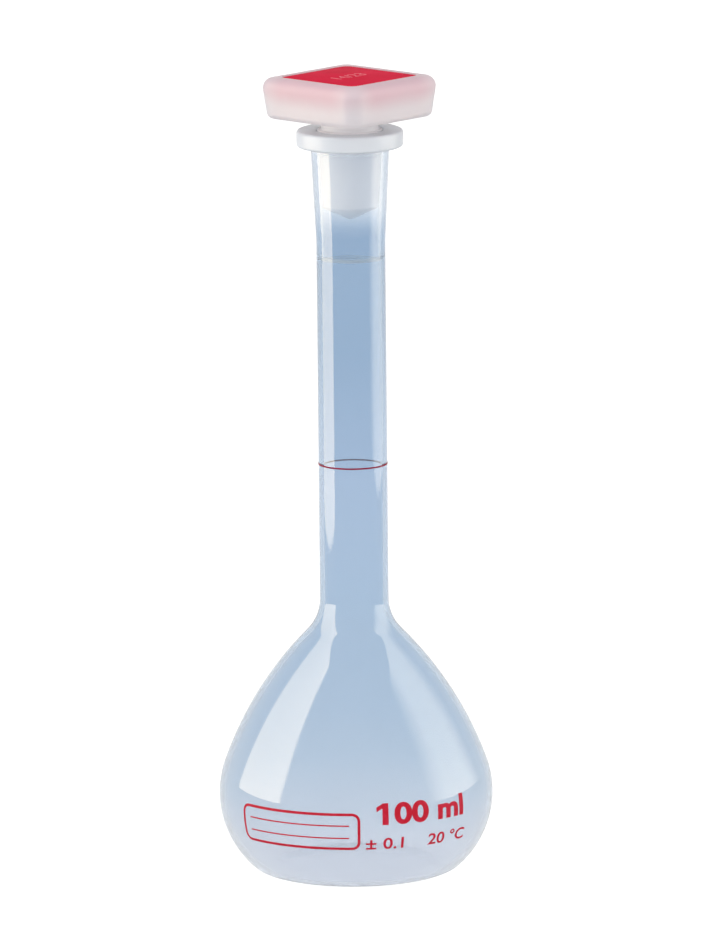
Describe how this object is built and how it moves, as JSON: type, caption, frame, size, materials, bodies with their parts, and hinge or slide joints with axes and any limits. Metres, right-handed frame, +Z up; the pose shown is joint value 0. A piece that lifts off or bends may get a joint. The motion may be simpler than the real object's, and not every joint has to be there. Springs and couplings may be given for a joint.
{
  "type": "volumetric flask",
  "caption": "Plastic volumetric flask: round-bellied bulb, long narrow neck with a ring mark, conical mouth, and a square-headed stopper that lifts out and turns.",
  "frame": {"origin": "centre of the standing ring, on the flask's axis, in the plane that the flask stands on", "axes": "+Z up along the axis of bulb, neck and stopper; +Y away from the viewer who faces the printed front"},
  "size_m": [0.061, 0.061, 0.1788],
  "materials": {
    "clear_plastic": "clear with a faint haze",
    "mark_ink": "printed",
    "natural_plastic": "milky, satin",
    "red_plastic": "satin"
  },
  "bodies": {
    "flask": {"flask_body": "clear_plastic", "graduation_ring": "mark_ink"},
    "plug": {"stopper_plug": "natural_plastic"},
    "head": {"grip_head": "natural_plastic", "colour_insert": "red_plastic"}
  },
  "joints": [
    {"name": "stopper_lift", "type": "slide", "parent": "flask", "child": "plug", "axis": [0, 0, 1], "range_m": [0, 0.03]},
    {"name": "stopper_twist", "type": "hinge", "parent": "plug", "child": "head", "pos_m": [0, 0, 0.1697], "axis": [0, 0, 1], "continuous": true}
  ]
}
